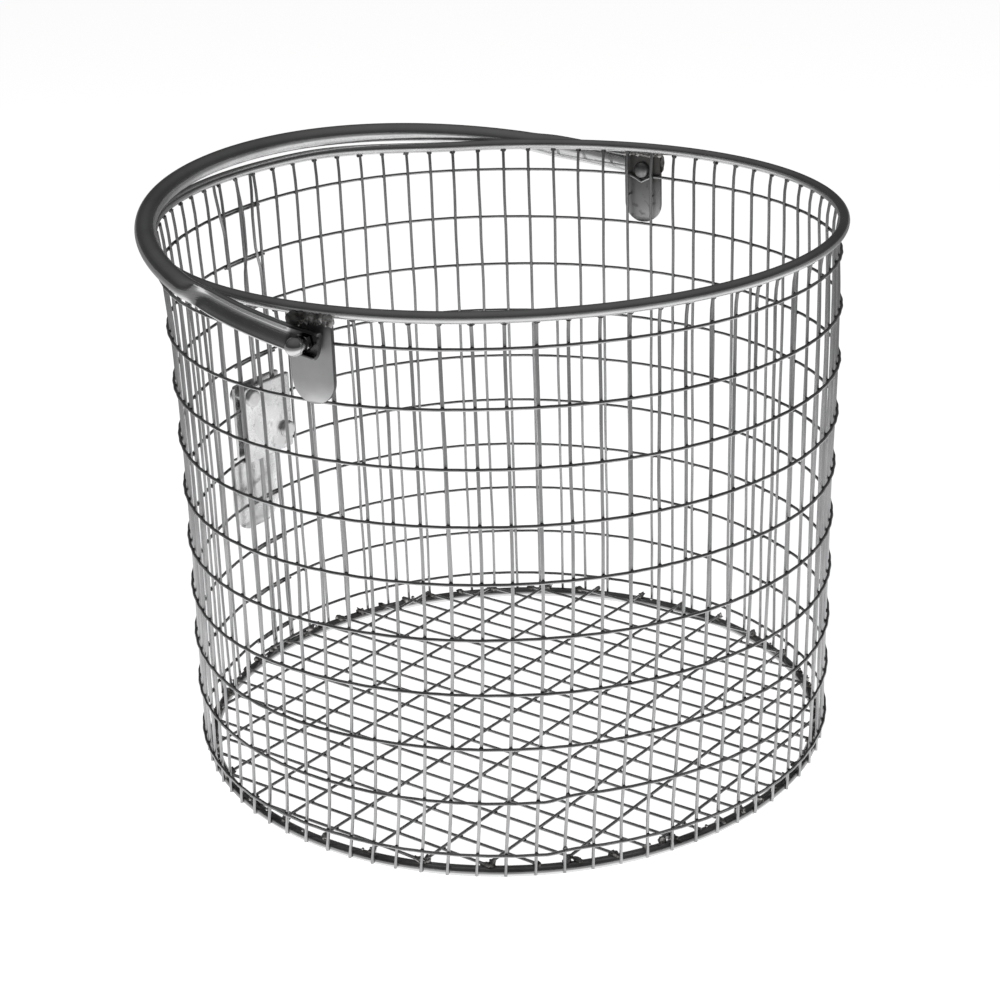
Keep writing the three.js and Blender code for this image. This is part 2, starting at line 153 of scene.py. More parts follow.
def sweep(builder, path, sections, up, closed=False):
    """Carries sections (across, upwards) along a path. Across is tangent x up."""
    path = np.asarray(path, float)
    count = len(path)
    sections = np.broadcast_to(sections, (count,) + np.shape(sections)[-2:])
    if closed:
        tangent = np.roll(path, -1, 0) - np.roll(path, 1, 0)
    else:
        tangent = np.gradient(path, axis=0)
    tangent = unit(tangent)
    across = unit(np.cross(tangent, np.broadcast_to(up, path.shape)))
    upward = np.cross(across, tangent)
    verts = (path[:, None] + sections[..., :1] * across[:, None]
             + sections[..., 1:] * upward[:, None])
    sides = sections.shape[1]
    length = np.concatenate([[0], np.cumsum(np.linalg.norm(np.diff(path, axis=0), axis=1))])
    around = np.arange(sides) * 2 * math.pi * 2 / sides
    uvs = np.stack(np.broadcast_arrays(length[:, None], around[None]), -1)
    faces = []
    for i in range(count if closed else count - 1):
        a, b = i * sides, (i + 1) % count * sides
        for j in range(sides):
            k = (j + 1) % sides
            faces.append((a + j, a + k, b + k, b + j))
    if not closed:
        faces.append(tuple(range(sides))[::-1])
        faces.append(tuple(range((count - 1) * sides, count * sides)))
    builder.add(verts.reshape(-1, 3), faces, uvs.reshape(-1, 2))


def turned(builder, profile, sides, origin, direction):
    """Turns (radius, distance) pairs around an axis. The first and last radius are zero."""
    direction = unit(np.asarray(direction, float))
    side = unit(np.cross(direction, AXIS_Z if abs(direction[2]) < 0.9 else AXIS_X))
    other = np.cross(direction, side)
    ring = circle(1, sides)
    verts = [np.asarray(origin, float) + direction * profile[0][1]]
    for radius, distance in profile[1:-1]:
        spoke = ring[:, :1] * side + ring[:, 1:] * other
        verts.extend(np.asarray(origin, float) + direction * distance + radius * spoke)
    verts.append(np.asarray(origin, float) + direction * profile[-1][1])
    faces = []
    last = len(verts) - 1
    for j in range(sides):
        k = (j + 1) % sides
        faces.append((0, 1 + k, 1 + j))
        for i in range(len(profile) - 3):
            a, b = 1 + i * sides, 1 + (i + 1) * sides
            faces.append((a + j, a + k, b + k, b + j))
        faces.append((last, last - sides + j, last - sides + k))
    builder.add(verts, faces)


def blob(builder, centre, axes, sides=6, rings=4, lumps=0.0, seed=0.0):
    """An ellipsoid around centre. axes holds its three half axes as vectors."""
    axes = np.asarray(axes, float)
    local = [np.array([0, 0, 1.0])]
    for i in range(1, rings):
        polar = math.pi * i / rings
        for j in range(sides):
            turn = 2 * math.pi * j / sides
            local.append(np.array([math.sin(polar) * math.cos(turn),
                                   math.sin(polar) * math.sin(turn), math.cos(polar)]))
    local.append(np.array([0, 0, -1.0]))
    local = np.array(local)
    if lumps:
        sizes = [1 + lumps * noise.noise(Vector(p * 1.7 + seed)) for p in local]
        local = local * np.array(sizes)[:, None]
    last = len(local) - 1
    faces = []
    for j in range(sides):
        k = (j + 1) % sides
        faces.append((0, 1 + j, 1 + k))
        for i in range(rings - 2):
            a, b = 1 + i * sides, 1 + (i + 1) * sides
            faces.append((a + j, b + j, b + k, a + k))
        faces.append((last, last - sides + k, last - sides + j))
    if np.linalg.det(axes) < 0:
        faces = [face[::-1] for face in faces]
    builder.add(local @ axes + np.asarray(centre, float), faces)


def wave(x, y, z=0.0):
    return noise.noise(Vector((x, y, z)))


def smooth(value, start, end):
    t = min(1.0, max(0.0, (value - start) / (end - start)))
    return t * t * (3 - 2 * t)


def at(azimuth, radius, z):
    """A point of the basket. Azimuth is counted from -Y towards +X."""
    return np.array([radius * math.sin(azimuth), -radius * math.cos(azimuth), z])


# ---- materials ----

# Painted reflection: the light tone the base ring's lowest edge gets in place of the bright floor
# it mirrors.
FLOOR_REFLECTION_TONE = (0.78, 0.78, 0.78)
# Painted shade: the dark tone of the handle's trough round the pivot, where the nut and lug shade
# it.
PIVOT_SHADE_TONE = (0.10, 0.10, 0.10)
STAIN_TONE = (0.10, 0.09, 0.085)
# A darker tone for the lugs towards their tops.
TOP_DARKENING_TONE = (0.16, 0.155, 0.15)
DULL_EDGE_TONE = (0.22, 0.22, 0.22)
# The height over which that painted floor reflection fades out.
FLOOR_REFLECTION_FADE = 0.7 * MM
TOP_DARKENING_FADE, TOP_DARKENING_UNEVEN = 22 * MM, 16 * MM


def node_material(name):
    material = bpy.data.materials.new(name)
    material.use_nodes = True
    nodes = material.node_tree.nodes
    nodes.clear()
    output = nodes.new("ShaderNodeOutputMaterial")
    shader = nodes.new("ShaderNodeBsdfPrincipled")
    material.node_tree.links.new(shader.outputs["BSDF"], output.inputs["Surface"])
    return material, nodes, material.node_tree.links, shader


def noise_node(nodes, links, vector, scale, detail=3.0, stretch=(1, 1, 1)):
    mapping = nodes.new("ShaderNodeMapping")
    mapping.inputs["Scale"].default_value = stretch
    links.new(vector, mapping.inputs["Vector"])
    texture = nodes.new("ShaderNodeTexNoise")
    texture.inputs["Scale"].default_value = scale
    texture.inputs["Detail"].default_value = detail
    links.new(mapping.outputs["Vector"], texture.inputs["Vector"])
    return texture.outputs["Fac"]


def ramp(nodes, links, factor, stops):
    node = nodes.new("ShaderNodeValToRGB")
    elements = node.color_ramp.elements
    while len(elements) < len(stops):
        elements.new(0.5)
    for element, (place, value) in zip(elements, stops):
        element.position = place
        colour = value if isinstance(value, tuple) else (value, value, value)
        element.color = (*colour, 1)
    links.new(factor, node.inputs["Fac"])
    return node.outputs["Color"]


def bump(nodes, links, heights, shader, distance):
    normal = None
    for height, strength in heights:
        node = nodes.new("ShaderNodeBump")
        node.inputs["Strength"].default_value = strength
        node.inputs["Distance"].default_value = distance
        links.new(height, node.inputs["Height"])
        if normal is not None:
            links.new(normal, node.inputs["Normal"])
        normal = node.outputs["Normal"]
    links.new(normal, shader.inputs["Normal"])


def mix_colours(nodes, links, factor, first, second):
    mix = nodes.new("ShaderNodeMix")
    mix.data_type = "RGBA"
    links.new(factor, mix.inputs["Factor"])
    links.new(first, mix.inputs["A"])
    mix.inputs["B"].default_value = (*second, 1)
    return mix.outputs["Result"]


def smooth_step(nodes, links, value, low, high):
    step = nodes.new("ShaderNodeMapRange")
    step.interpolation_type = "SMOOTHSTEP"
    step.inputs["From Min"].default_value = low
    step.inputs["From Max"].default_value = high
    links.new(value, step.inputs["Value"])
    return step.outputs["Result"]


def height_step(nodes, links, place, low, high, uneven=None, amount=0.0):
    """0 below one height and 1 above the other, with an uneven edge where a noise is given."""
    split = nodes.new("ShaderNodeSeparateXYZ")
    links.new(place, split.inputs["Vector"])
    height = split.outputs["Z"]
    if uneven is not None:
        shifted = nodes.new("ShaderNodeMath")
        shifted.operation = "MULTIPLY_ADD"
        links.new(uneven, shifted.inputs[0])
        shifted.inputs[1].default_value = amount
        links.new(height, shifted.inputs[2])
        height = shifted.outputs["Value"]
    return smooth_step(nodes, links, height, low, high)


def line_distance(nodes, links, place, height, only_below=False):
    """Distance from a level line along Y at a height, or only sideways from it higher up."""
    split = nodes.new("ShaderNodeSeparateXYZ")
    links.new(place, split.inputs["Vector"])
    drop = nodes.new("ShaderNodeMath")
    drop.operation = "SUBTRACT"
    links.new(split.outputs["Z"], drop.inputs[0])
    drop.inputs[1].default_value = height
    below = nodes.new("ShaderNodeMath")
    below.operation = "MINIMUM"
    links.new(drop.outputs["Value"], below.inputs[0])
    below.inputs[1].default_value = 0.0 if only_below else 1.0
    join = nodes.new("ShaderNodeCombineXYZ")
    links.new(split.outputs["X"], join.inputs["X"])
    links.new(below.outputs["Value"], join.inputs["Z"])
    length = nodes.new("ShaderNodeVectorMath")
    length.operation = "LENGTH"
    links.new(join.outputs["Vector"], length.inputs[0])
    return length.outputs["Value"]


def drawn_steel(name, dark, light, rough_low, rough_high, bright_below=None, pivot_shade=None):
    """Bright drawn wire, rod or tube: lengthwise streaks, cloudy gloss and small pits.

    It can carry a painted reflection of the white floor below a height, and painted shade within a
    distance of the pivot axis.
    """
    material, nodes, links, shader = node_material(name)
    shader.inputs["Metallic"].default_value = 1.0
    uv = nodes.new("ShaderNodeUVMap")
    uv.uv_map = "length_and_turn"
    place = nodes.new("ShaderNodeTexCoord").outputs["Object"]
    streaks = noise_node(nodes, links, uv.outputs["UV"], 1.0, 4.0, (60, 2500, 1))
    clouds = noise_node(nodes, links, place, 35.0, 4.0)
    pits = noise_node(nodes, links, place, 900.0, 2.0)
    colour = ramp(nodes, links, clouds, [(0.35, dark), (0.65, light)])
    if bright_below is not None:
        # Painted reflection of the bright floor: light below a height.
        painted_floor_reflection = height_step(nodes, links, place, bright_below, bright_below - FLOOR_REFLECTION_FADE)
        colour = mix_colours(nodes, links, painted_floor_reflection, colour, FLOOR_REFLECTION_TONE)
    # Painted shade near the pivot axis, darkest within about 7 mm of it.
    if pivot_shade is not None:
        from_pivot = line_distance(nodes, links, place, PIVOT_Z * MM)
        painted_pivot_shade = smooth_step(nodes, links, from_pivot, pivot_shade, pivot_shade * 0.72)
        colour = mix_colours(nodes, links, painted_pivot_shade, colour, PIVOT_SHADE_TONE)
    links.new(colour, shader.inputs["Base Color"])
    roughness = ramp(nodes, links, streaks, [(0.3, rough_low), (0.7, rough_high)])
    links.new(roughness, shader.inputs["Roughness"])
    bump(nodes, links, [(streaks, 0.25), (pits, 0.12)], shader, 0.0002)
    return material


def sheet_steel(name, dark, light, rough_low, rough_high, stains=0.0, darker_from=None, edged=False):
    """Cut sheet: mottled gloss, rolling lines, stains, a darker tone above a height, dull edges."""
    material, nodes, links, shader = node_material(name)
    shader.inputs["Metallic"].default_value = 1.0
    place = nodes.new("ShaderNodeTexCoord").outputs["Object"]
    mottle = noise_node(nodes, links, place, 90.0, 5.0)
    lines = noise_node(nodes, links, place, 1.0, 3.0, (900, 900, 60))
    spots = noise_node(nodes, links, place, 230.0, 3.0)
    colour = ramp(nodes, links, mottle, [(0.3, dark), (0.7, light)])
    if stains:
        spot_mask = ramp(nodes, links, spots, [(0.58, 0.0), (0.70, stains)])
        colour = mix_colours(nodes, links, spot_mask, colour, STAIN_TONE)
    # Darker towards the top from a height up, with an uneven edge.
    if darker_from is not None:
        darkening = height_step(nodes, links, place, darker_from, darker_from + TOP_DARKENING_FADE,
                            mottle, TOP_DARKENING_UNEVEN)
        colour = mix_colours(nodes, links, darkening, colour, TOP_DARKENING_TONE)
    if edged:
        round_middle = (LUG_BOTTOM_Z + LUG_HALF_WIDTH) * MM
        from_middle = line_distance(nodes, links, place, round_middle, only_below=True)
        edge = smooth_step(nodes, links, from_middle,
                           (LUG_HALF_WIDTH - 0.25) * MM, (LUG_HALF_WIDTH - 0.05) * MM)
        colour = mix_colours(nodes, links, edge, colour, DULL_EDGE_TONE)
    links.new(colour, shader.inputs["Base Color"])
    roughness = ramp(nodes, links, mottle, [(0.3, rough_high), (0.7, rough_low)])
    links.new(roughness, shader.inputs["Roughness"])
    bump(nodes, links, [(lines, 0.10), (mottle, 0.15)], shader, 0.0002)
    return material


def weld_metal(name, dark, light, scale=170.0):
    """Burnt, lumpy weld metal with brighter crests."""
    material, nodes, links, shader = node_material(name)
    shader.inputs["Metallic"].default_value = 1.0
    place = nodes.new("ShaderNodeTexCoord").outputs["Object"]
    darkening = noise_node(nodes, links, place, scale, 4.0)
    grain = noise_node(nodes, links, place, 1100.0, 2.0)
    links.new(ramp(nodes, links, darkening, [(0.38, dark), (0.66, light)]), shader.inputs["Base Color"])
    links.new(ramp(nodes, links, darkening, [(0.35, 0.62), (0.7, 0.3)]), shader.inputs["Roughness"])
    bump(nodes, links, [(darkening, 0.35), (grain, 0.12)], shader, 0.0003)
    return material


def polished_steel(name, dark, light, rough_low, rough_high):
    """Fastener steel with a cloudy polish."""
    material, nodes, links, shader = node_material(name)
    shader.inputs["Metallic"].default_value = 1.0
    place = nodes.new("ShaderNodeTexCoord").outputs["Object"]
    haze = noise_node(nodes, links, place, 300.0, 4.0)
    links.new(ramp(nodes, links, haze, [(0.3, dark), (0.7, light)]), shader.inputs["Base Color"])
    roughness = ramp(nodes, links, haze, [(0.3, rough_low), (0.7, rough_high)])
    links.new(roughness, shader.inputs["Roughness"])
    bump(nodes, links, [(haze, 0.08)], shader, 0.0002)
    return material


WIRE = drawn_steel("mesh_wire_steel", (0.40, 0.40, 0.405), (0.55, 0.55, 0.555), 0.22, 0.40)
ROD = drawn_steel("rim_rod_steel", (0.62, 0.62, 0.623), (0.74, 0.74, 0.743), 0.14, 0.24)
# The base ring's lowest 2.6 mm carry a painted reflection of the floor.
BASE_ROD = drawn_steel("base_rod_steel", (0.24, 0.24, 0.24), (0.38, 0.38, 0.38), 0.24, 0.36,
                       bright_below=2.6 * MM)
# The handle's trough ends get painted shade round the pivot.
TUBE = drawn_steel("handle_tube_steel", (0.64, 0.64, 0.643), (0.78, 0.78, 0.783), 0.12, 0.22,
                   pivot_shade=9.8 * MM)
LUG = {
    "front": sheet_steel("front_lug_steel", (0.70, 0.70, 0.705), (0.78, 0.78, 0.785), 0.46, 0.58,
                         darker_from=240 * MM, edged=True),
    "rear": sheet_steel("rear_lug_steel", (0.40, 0.40, 0.405), (0.52, 0.52, 0.525), 0.36, 0.50,
                        stains=0.7, darker_from=230 * MM),
}
PLATE_STEEL = sheet_steel("hook_sheet_steel", (0.84, 0.84, 0.845), (0.97, 0.97, 0.97), 0.20, 0.32,
                          stains=0.3)
WELD = weld_metal("weld_bead_metal", (0.10, 0.095, 0.09), (0.55, 0.54, 0.53))
BRIGHT_WELD = weld_metal("bright_weld_metal", (0.22, 0.215, 0.21), (0.86, 0.85, 0.84), 330.0)
SPOT = weld_metal("spot_weld_metal", (0.10, 0.10, 0.10), (0.26, 0.26, 0.26))
NUT = polished_steel("cap_nut_steel", 0.66, 0.80, 0.06, 0.14)
SCREW = polished_steel("pivot_screw_steel", 0.16, 0.42, 0.30, 0.42)
RIVET = polished_steel("rivet_steel", 0.86, 0.97, 0.34, 0.44)


# ---- wall ----

def cell_azimuth(cell):
    """Azimuth of a place counted in cells from the front lug. The cells aren't quite even."""
    even = cell * 360 / UPRIGHTS % 360
    front = np.interp(even, [2.5, 20, 78, 98], [0, 1, 1, 0])
    hook = np.interp(even, [182.5, 262, 272, 332], [0, 1, 1, 0])
    return math.radians(even + FRONT_DRIFT * front + HOOK_DRIFT * hook)


HOOK_AZIMUTH = cell_azimuth(HOOK_CELL)


def near(azimuth, middle, half_width):
    """1 at the middle azimuth, falling smoothly to 0 at half_width either side, in degrees."""
    away = abs(math.degrees(math.remainder(azimuth - math.radians(middle), 2 * math.pi)))
    return 1 - smooth(away, 0, half_width)


def front_share(azimuth):
    """How much the mesh's lower half is pushed round here: all of it from -30 to 90 degrees."""
    degrees = math.degrees(math.remainder(azimuth, 2 * math.pi))
    return float(np.interp(degrees, [-85, -30, 90, 145], [0, 1, 1, 0]))


def foot_bulge(azimuth, z):
    """The lowest 30 mm of the basket are pushed outwards on the front side."""
    return FOOT_BULGE * near(azimuth, 26, 62) * max(0, 1 - z / 30) ** 2


def wall_radius(azimuth, z):
    """The middle of the uprights. The wall has a broad dent, and a slight bulge opposite it."""
    uneven = 0.45 * wave(2.1 * math.cos(azimuth), 2.1 * math.sin(azimuth), z / 90)
    pressed = DENT_DEPTH * near(azimuth, -61, 52) * smooth(z, 5, 150)
    pressed *= 1 - 0.7 * smooth(z, 205, 248)
    bulge = SIDE_BULGE * near(azimuth, 119, 45) * smooth(z, 120, 190) * (1 - smooth(z, 215, 248))
    return WALL_RADIUS + WALL_TAPER * z + uneven - pressed + bulge + foot_bulge(azimuth, z)


def rim_lift(azimuth):
    """How much higher the rim and the tops of the uprights stand on the hook's side."""
    degrees = -math.degrees(azimuth) % 360
    return RIM_LIFT * smooth(degrees, 40, 66) * (1 - smooth(degrees, 112, 146))


def rear_drift(azimuth):
    """How far in degrees the uprights of the rear wall stand aside from cell_azimuth's places."""
    degrees = math.degrees(azimuth) % 360
    places = [110, 128, 148, 158, 178, 186, 218, 226, 236, 262, 290]
    return np.interp(degrees, places, [0, -0.4, -0.5, 0, 0.1, 0.5, 0.5, -0.2, -0.65, -0.65, 0])


def upright_point(index, z):
    """Between the hoops that hold it, an upright wanders a little to either side."""
    azimuth = cell_azimuth(index + 0.5)
    azimuth += math.radians(rear_drift(azimuth))
    aside = 0.45 * wave(index * 3.7, z / 70, 4.0) + 0.25 * wave(index * 5.3, z / 24, 9.0)
    aside -= FOOT_TWIST * front_share(azimuth) * max(0, 1 - z / 150) ** 1.6
    radius = wall_radius(azimuth, z)
    outward = 0.3 * wave(index * 2.9, z / 40, 15.0)
    lean = UPRIGHT_LEAN * smooth(z, 243, UPRIGHT_TOP_Z)
    lift = rim_lift(azimuth) * smooth(z, 241, UPRIGHT_TOP_Z)
    return at(azimuth + aside / radius, radius + outward + lean, z + lift)


def hoop_z(index, azimuth):
    """The height of a hoop. Hoops are counted from the top."""
    z = TOP_HOOP_Z - CELL_HEIGHT * index
    z += 0.6 * wave(1.6 * math.cos(azimuth) + 10 * index, 1.6 * math.sin(azimuth), 3.0)
    from_rear = azimuth - math.radians(190)
    if math.cos(from_rear) > 0:  # the rear half of the mesh sits a little askew
        z += 1.5 * math.sin(2 * from_rear)
    if index >= HOOPS - 2:  # pushed up a step beside a dent in the foot
        step = 2.4 * smooth(math.degrees(azimuth % (2 * math.pi)), 33, 38.5) - 0.9
        z += step * near(azimuth, 36, 45) * (1.0 if index == HOOPS - 2 else 0.7)
    if index == 0:  # bent down below the heads of the pivot screws
        from_pivot = math.remainder(azimuth, math.pi) * WALL_RADIUS
        z -= 3.4 * math.exp(-(from_pivot / 3.6) ** 2)
    return z


def hoop_point(index, azimuth):
    z = hoop_z(index, azimuth)
    kink = 0.12 * math.cos(UPRIGHTS * azimuth)
    return at(azimuth, wall_radius(azimuth, z) + HOOP_OFFSET + kink, z)


def hoop_path(index):
    steps = UPRIGHTS * 4
    return [hoop_point(index, 2 * math.pi * i / steps) for i in range(steps)]


WIRE_SECTION = circle(WIRE_RADIUS, 8)


def make_uprights():
    """All uprights, in one piece with the lowest hoop."""
    builder = Builder()
    for index in range(UPRIGHTS):
        heights = np.linspace(UPRIGHT_FOOT_Z, UPRIGHT_TOP_Z, 44)
        path = [upright_point(index, z) for z in heights]
        sweep(builder, path, WIRE_SECTION, at(cell_azimuth(index + 0.5), 1, 0))
    sweep(builder, hoop_path(HOOPS - 1), WIRE_SECTION, AXIS_Z, closed=True)
    builder.piece("wall_upright_wires", "basket", "mesh_wire", WIRE, ["wall_wires"])


def make_hoops():
    for index in range(HOOPS - 1):
        builder = Builder()
        sweep(builder, hoop_path(index), WIRE_SECTION, AXIS_Z, closed=True)
        number = f"{index + 1:02d}"
        builder.piece(f"hoop_wire_round_{number}", "basket", "mesh_wire", WIRE,
                      [f"hoop_wire_{number}"])


def make_wall_spots():
    """A small pressed weld where each upright crosses each hoop."""
    builder = Builder()
    for index in range(HOOPS):
        for number in range(UPRIGHTS):
            azimuth = cell_azimuth(number + 0.5)
            z = hoop_z(index, azimuth)
            place = upright_point(number, z)
            outward = unit(at(azimuth, 1, 0))
            along = np.cross(AXIS_Z, outward)
            size = 1.0 + 0.25 * wave(number * 1.3, index * 2.1, 7.0)
            axes = [along * 1.05 * size, outward * 0.85, AXIS_Z * 1.05 * size]
            blob(builder, place + outward * HOOP_OFFSET / 2, axes)
    builder.piece("wall_spot_welds", "basket", "mesh_wire", SPOT)


def beside_upright(index, z, spread):
    """A point of a wire that lies against an upright, spread further round the wall."""
    point = upright_point(index, z)
    azimuth = math.atan2(point[0], -point[1]) + spread / WALL_RADIUS
    return at(azimuth, math.hypot(point[0], point[1]) - 0.3, point[2])


def make_seam():
    """Where the mesh sheet's ends overlap above the hook: twin uprights and cut hoop ends."""
    builder = Builder()
    for twin, lean in ((HOOK_CELL - 1, 2.6), (HOOK_CELL, -3.0)):
        path = []
        for z in np.linspace(UPRIGHT_FOOT_Z, UPRIGHT_TOP_Z, 48):
            spread = 1.8 + 0.7 * wave(twin * 2.3, z / 22, 5.0)
            spread += lean * smooth(z, 205, 222) * (1 - 0.6 * smooth(z, 236, 251))
            path.append(beside_upright(twin, z, spread))
        sweep(builder, path, WIRE_SECTION, at(HOOK_AZIMUTH, 1, 0))
    short_end_z = 214
    path = [beside_upright(HOOK_CELL + 1, z, 1.2 + 3.6 * smooth(z, 229, 250))
            for z in np.linspace(short_end_z, UPRIGHT_TOP_Z, 16)]
    sweep(builder, path, WIRE_SECTION, at(HOOK_AZIMUTH, 1, 0))
    for index in range(HOOPS):
        start = cell_azimuth(HOOK_CELL - 0.8 + 0.4 * wave(index * 3.1, 1.0))
        end = cell_azimuth(HOOK_CELL + 1.4 + 0.7 * wave(index * 2.3, 6.0))
        path = []
        for azimuth in np.linspace(start, end, 26):
            point = hoop_point(index, azimuth)
            point[2] -= 1.25 + 0.3 * wave(azimuth * 20, index * 3.0)
            path.append(point)
        sweep(builder, path, WIRE_SECTION, AXIS_Z)
    builder.piece("wall_seam_wires", "basket", "mesh_wire", WIRE)


# ---- rim and base ring ----

def make_rods():
    steps = 288
    turn = [2 * math.pi * i / steps for i in range(steps)]
    rim = Builder()
    path = []
    for azimuth in turn:
        uneven = 0.12 * wave(math.cos(azimuth) * 2, math.sin(azimuth) * 2, 30.0)
        path.append(at(azimuth, RIM_RADIUS + uneven, RIM_Z + rim_lift(azimuth)))
    sweep(rim, path, circle(RIM_ROD_RADIUS, 20), AXIS_Z, closed=True)
    rim.piece("top_rim_rod", "basket", "rod", ROD, ["top_rim"])
    base = Builder()
    path = [at(a, BASE_RADIUS + foot_bulge(a, BASE_Z), BASE_Z) for a in turn]
    sweep(base, path, circle(BASE_ROD_RADIUS, 16), AXIS_Z, closed=True)
    base.piece("base_ring_rod", "basket", "rod", BASE_ROD, ["base_ring"])


def make_ring_welds():
    """Tacks under the rim and beside the base ring, one at each upright."""
    builder = Builder()
    top_z, foot_z = 250.9, 2.6
    for number in range(UPRIGHTS):
        azimuth = cell_azimuth(number + 0.5)
        outward = unit(at(azimuth, 1, 0))
        along = np.cross(AXIS_Z, outward)
        size = 1.0 + 0.4 * wave(number * 2.7, 3.0)
        top = upright_point(number, top_z) + outward * 0.3
        blob(builder, top, [along * 1.5 * size, outward * 1.1, AXIS_Z * 1.0], 8, 5, 0.3, number)
        foot = upright_point(number, foot_z) - outward * 1.1
        axes = [along * 1.3 * size, outward * 1.0, AXIS_Z * 1.5 * size]
        blob(builder, foot, axes, 8, 5, 0.4, number + 50)
    builder.piece("ring_tack_welds", "basket", "mesh_wire", SPOT)


# ---- floor ----

def floor_frame():
    """Directions along the close wires and along the cross wires."""
    along = np.array([math.cos(FLOOR_TURN), math.sin(FLOOR_TURN), 0])
    return along, np.cross(AXIS_Z, along)


def floor_offsets(shift, pitch):
    """The numbers of a grid's wires and how far each one is from the centre."""
    reach = FLOOR_RADIUS - 2 * WIRE_RADIUS
    return [(i, shift + i * pitch) for i in range(-UPRIGHTS, UPRIGHTS)
            if abs(shift + i * pitch) < reach]


def floor_bend(distance, number, kind):
    return 0.5 * wave(distance / 60, number * 3.3, kind)


def floor_reach(along, across, offset, side, radius):
    """How far a floor wire runs to one side before it meets a circle that bulges with the foot."""
    half = math.sqrt(max(0, radius ** 2 - offset ** 2))
    x, y, _ = along * side * half + across * offset
    return math.sqrt(max(0, (radius + foot_bulge(math.atan2(x, -y), BASE_Z)) ** 2 - offset ** 2))


def floor_path(along, across, offset, z, number, kind):
    edge = abs(offset) + WIRE_RADIUS
    outer = math.copysign(edge, offset)
    path = []
    for s in np.linspace(-floor_reach(along, across, outer, -1, FLOOR_RADIUS),
                         floor_reach(along, across, outer, 1, FLOOR_RADIUS), 20):
        aside = offset + floor_bend(s, number, kind)
        path.append(along * s + across * aside + AXIS_Z * z)
    return path


def make_floor():
    along, across = floor_frame()
    close, cross_z = Builder(), CLOSE_Z + HOOP_OFFSET
    close_wires = floor_offsets(CLOSE_SHIFT, CELL_WIDTH)
    cross_wires = floor_offsets(CROSS_SHIFT, 2 * CELL_WIDTH)
    for number, offset in close_wires:
        path = floor_path(along, across, offset, CLOSE_Z, number, CLOSE_KIND)
        sweep(close, path, WIRE_SECTION, AXIS_Z)
    others = 0
    for number, offset in cross_wires:
        path = floor_path(across, -along, offset, cross_z, number, CROSS_KIND)
        if number == 0:  # the middle one is in one piece with the close wires
            sweep(close, path, WIRE_SECTION, AXIS_Z)
            continue
        others += 1
        builder = Builder()
        sweep(builder, path, WIRE_SECTION, AXIS_Z)
        builder.piece(f"floor_cross_wire_round_{others:02d}", "basket", "mesh_wire", WIRE,
                      [f"floor_cross_wire_{others:02d}"])
    close.piece("floor_close_wires", "basket", "mesh_wire", WIRE, ["floor_wires"])
    return close_wires, cross_wires


def make_floor_welds(close_wires, cross_wires):
    """Welds at the crossings, lumps where the tips lie on the base ring, and beads on the ring."""
    along, across = floor_frame()
    spots, lumps, spatter = Builder(), Builder(), Builder()
    for number, offset in close_wires:
        for other, cross_offset in cross_wires:
            if math.hypot(offset, cross_offset) > FLOOR_RADIUS - 2:
                continue
            x = -cross_offset
            place = along * x + across * (offset + floor_bend(x, number, CLOSE_KIND))
            place = place + AXIS_Z * (CLOSE_Z + HOOP_OFFSET / 2)
            blob(spots, place, [along * 1.1, across * 1.1, AXIS_Z * 0.8])
    for kind, (first, second, wires, z) in enumerate(
            ((along, across, close_wires, CLOSE_Z), (across, -along, cross_wires, CLOSE_Z + 1.1))):
        for number, offset in wires:
            for side in (-1, 1):
                reach = floor_reach(first, second, offset, side, BASE_RADIUS - 0.3)
                place = first * side * reach + second * offset + AXIS_Z * (z - 0.5)
                size = 1.1 + 0.6 * wave(number * 1.9, side * 3.0, kind * 5.0)
                axes = [first * 2.3 * size, second * 1.4 * size, AXIS_Z * 1.4 * size]
                blob(lumps, place, axes, 9, 7, 0.8, number * 3 + side + 20 * kind)
    draws = random.Random(31)
    beads = 26
    for i in range(beads):
        azimuth = 2 * math.pi * (i + draws.uniform(0.1, 0.9)) / beads
        size = draws.uniform(0.7, 1.0)
        radius = BASE_RADIUS + foot_bulge(azimuth, BASE_Z) + draws.uniform(-1.2, 1.0)
        place = at(azimuth, radius, BASE_Z + BASE_ROD_RADIUS + 0.35 * size)
        blob(spatter, place, [AXIS_X * size, AXIS_Y * size, AXIS_Z * size], 10, 7)
    spatter.piece("base_ring_spatter", "basket", "rod", NUT)
    spots.piece("floor_spot_welds", "basket", "mesh_wire", SPOT)
    lumps.piece("floor_tip_welds", "basket", "mesh_wire", WELD)


# ---- flat plates ----

def plate_section(half_width, half_thickness, edge=0.45):
    """A flat bar's section with rounded long edges, as (across, upwards) points."""
    points = []
    edge = min(edge, half_width * 0.9, half_thickness * 0.9)
    for sx, sy, start in ((1, 1, 0), (-1, 1, 90), (-1, -1, 180), (1, -1, 270)):
        for step in (0, 45, 90):
            angle = math.radians(start + step)
            points.append((sx * (half_thickness - edge) + edge * math.cos(angle),
                           sy * (half_width - edge) + edge * math.sin(angle)))
    return points


def rounded_end(distance, half_width, rounding):
    """Half the width of a plate at a distance from its rounded end."""
    if distance >= rounding:
        return half_width
    inset = rounding - math.sqrt(max(0.0, rounding ** 2 - (rounding - distance) ** 2))
    return half_width - inset


def bar(builder, path, half_width, thickness, up, start_rounding, end_rounding):
    """A flat bar along a path, its width along up, with both ends' corners rounded."""
    path = np.asarray(path, float)
    steps = np.linalg.norm(np.diff(path, axis=0), axis=1)
    length = np.concatenate([[0], np.cumsum(steps)])
    sections = []
    for s in length:
        width = min(rounded_end(s, half_width, start_rounding),
                    rounded_end(length[-1] - s, half_width, end_rounding))
        edge_distance = min(s, length[-1] - s)
        thin = 0.35 * (1 - smooth(edge_distance, 0, 0.4))
        sections.append(plate_section(max(width, 0.6), thickness / 2 - thin))
    sweep(builder, path, np.array(sections), up)


